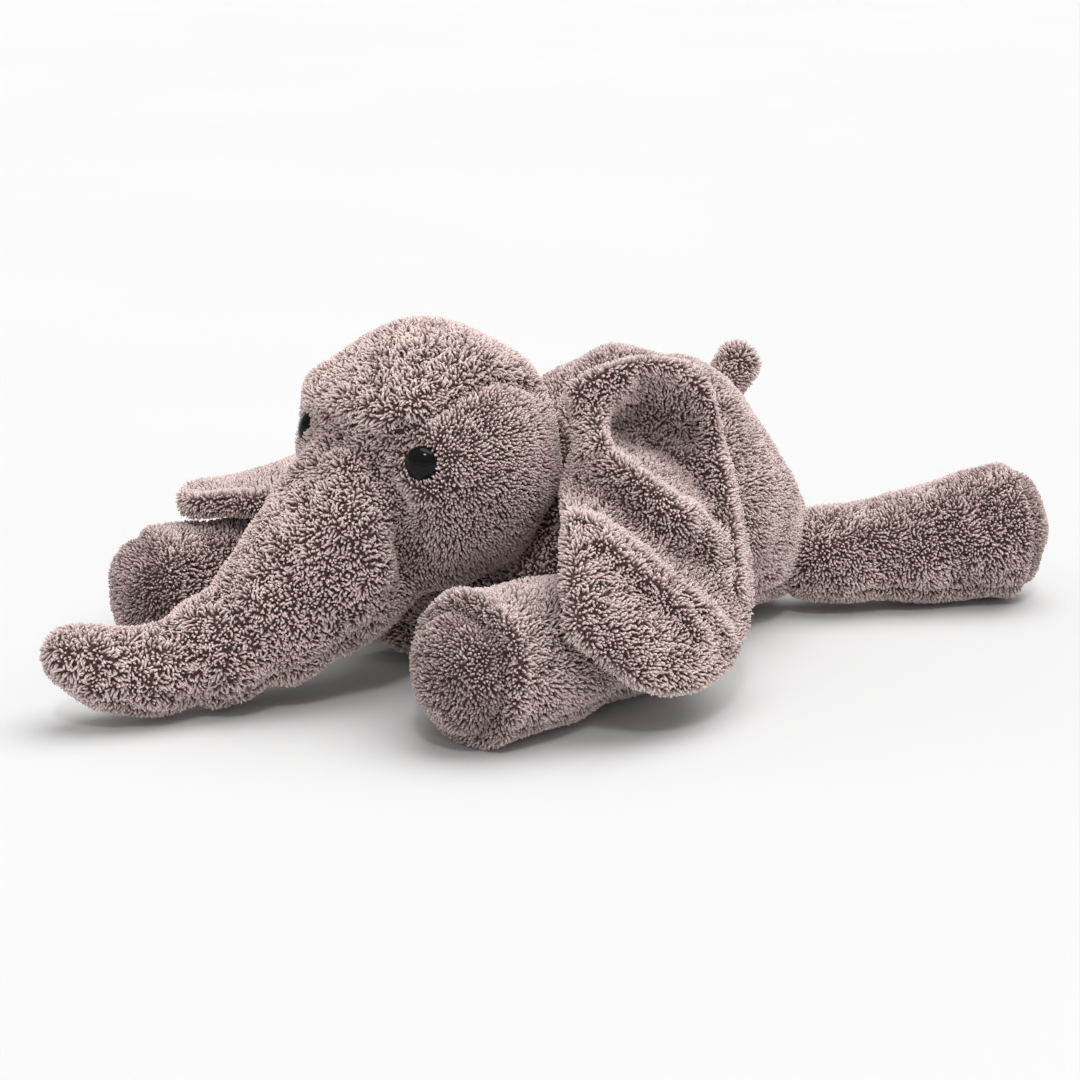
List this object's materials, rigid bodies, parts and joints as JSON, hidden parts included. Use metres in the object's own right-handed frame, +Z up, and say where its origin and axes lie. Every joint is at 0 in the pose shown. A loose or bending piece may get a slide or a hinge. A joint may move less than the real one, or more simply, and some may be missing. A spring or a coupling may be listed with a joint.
{
  "type": "stuffed elephant",
  "caption": "Long-pile plush elephant lying on its belly with legs spread, a curled trunk on the ground and broad floppy ears.",
  "frame": {"origin": "middle of the flat patch of the belly that the toy rests on", "axes": "+Z up, the face looks towards -Y, +X is the elephant's left side"},
  "size_m": [0.2244, 0.3925, 0.1282],
  "materials": {
    "plush": "long curly pile, taupe grey, brown between the tufts",
    "sole_plush": "the same pile on the foot pads, seen end on",
    "ear_lining_plush": "the same pile lining the ears",
    "polyester_filling": "white polyester fibre filling",
    "eye_gloss": "polished black",
    "washer_plastic": "moulded",
    "label_satin": "blank woven satin ribbon"
  },
  "bodies": {
    "torso": {"torso_belly_panel": "plush", "torso_left_panel": "plush", "torso_right_panel": "plush", "torso_stuffing": "polyester_filling", "care_label": "label_satin"},
    "neck": {"neck_collar": "plush"},
    "head": {"head_gusset": "plush", "head_chin_panel": "plush", "head_left_cheek": "plush", "head_right_cheek": "plush", "head_stuffing": "polyester_filling", "eye_left": "eye_gloss", "eye_left_washer": "washer_plastic", "eye_right": "eye_gloss", "eye_right_washer": "washer_plastic", "trunk_root_cover": "plush", "trunk_root_stuffing": "polyester_filling"},
    "trunk_middle": {"trunk_middle_cover": "plush", "trunk_middle_stuffing": "polyester_filling"},
    "trunk_fore": {"trunk_fore_cover": "plush", "trunk_fore_stuffing": "polyester_filling"},
    "trunk_tip": {"trunk_tip_cover": "plush", "trunk_tip_stuffing": "polyester_filling"},
    "ear_left": {"ear_left_inner": "ear_lining_plush", "ear_left_outer": "plush"},
    "ear_right": {"ear_right_inner": "ear_lining_plush", "ear_right_outer": "plush"},
    "front_left_leg": {"front_left_leg_cover": "plush", "front_left_leg_stuffing": "polyester_filling", "front_left_leg_sole": "sole_plush"},
    "front_right_leg": {"front_right_leg_cover": "plush", "front_right_leg_stuffing": "polyester_filling", "front_right_leg_sole": "sole_plush"},
    "hind_left_leg": {"hind_left_leg_cover": "plush", "hind_left_leg_stuffing": "polyester_filling", "hind_left_leg_sole": "sole_plush"},
    "hind_right_leg": {"hind_right_leg_cover": "plush", "hind_right_leg_stuffing": "polyester_filling", "hind_right_leg_sole": "sole_plush"},
    "tail": {"tail_cover": "plush", "tail_stuffing": "polyester_filling"}
  },
  "joints": [
    {"name": "head_turn", "type": "hinge", "parent": "torso", "child": "neck", "pos_m": [0, -0.095, 0.08], "axis": [0, 0, 1], "range_deg": [-8, 4], "stiffness_Nm_per_rad": 0.3},
    {"name": "head_nod", "type": "hinge", "parent": "neck", "child": "head", "pos_m": [0, -0.095, 0.08], "axis": [-1, 0, 0], "range_deg": [0, 9], "stiffness_Nm_per_rad": 0.3},
    {"name": "trunk_swing", "type": "hinge", "parent": "head", "child": "trunk_middle", "pos_m": [-0.00637, -0.15578, 0.03183], "axis": [0, 0, 1], "range_deg": [-12, 12], "stiffness_Nm_per_rad": 0.06},
    {"name": "trunk_lift", "type": "hinge", "parent": "trunk_middle", "child": "trunk_fore", "pos_m": [-0.01033, -0.17708, 0.02137], "axis": [-0.979, 0.204, 0], "range_deg": [0, 28], "stiffness_Nm_per_rad": 0.04},
    {"name": "trunk_curl", "type": "hinge", "parent": "trunk_fore", "child": "trunk_tip", "pos_m": [-0.01485, -0.19813, 0.01751], "axis": [-0.9812, 0.193, 0], "range_deg": [0, 35], "stiffness_Nm_per_rad": 0.03},
    {"name": "ear_left_lift", "type": "hinge", "parent": "head", "child": "ear_left", "pos_m": [0.036, -0.064, 0.107], "axis": [0, -1, 0], "range_deg": [0, 45], "stiffness_Nm_per_rad": 0.01},
    {"name": "ear_right_lift", "type": "hinge", "parent": "head", "child": "ear_right", "pos_m": [-0.036, -0.064, 0.107], "axis": [0, 1, 0], "range_deg": [0, 30], "stiffness_Nm_per_rad": 0.01},
    {"name": "front_left_leg_swing", "type": "hinge", "parent": "torso", "child": "front_left_leg", "pos_m": [0.059, -0.04, 0.0228], "axis": [0, 0, 1], "range_deg": [-5, 4], "stiffness_Nm_per_rad": 0.08},
    {"name": "front_right_leg_swing", "type": "hinge", "parent": "torso", "child": "front_right_leg", "pos_m": [-0.059, -0.058, 0.0225], "axis": [0, 0, 1], "range_deg": [-22, 5], "stiffness_Nm_per_rad": 0.08},
    {"name": "hind_left_leg_swing", "type": "hinge", "parent": "torso", "child": "hind_left_leg", "pos_m": [0.03, 0.069, 0.0215], "axis": [0, 0, 1], "range_deg": [-22, 6], "stiffness_Nm_per_rad": 0.08},
    {"name": "hind_right_leg_swing", "type": "hinge", "parent": "torso", "child": "hind_right_leg", "pos_m": [-0.035, 0.058, 0.0215], "axis": [0, 0, 1], "range_deg": [-6, 22], "stiffness_Nm_per_rad": 0.08},
    {"name": "tail_wag", "type": "hinge", "parent": "torso", "child": "tail", "pos_m": [0, 0.039, 0.084], "axis": [0, -0.5913, 0.8064], "range_deg": [-20, 20], "stiffness_Nm_per_rad": 0.005}
  ]
}
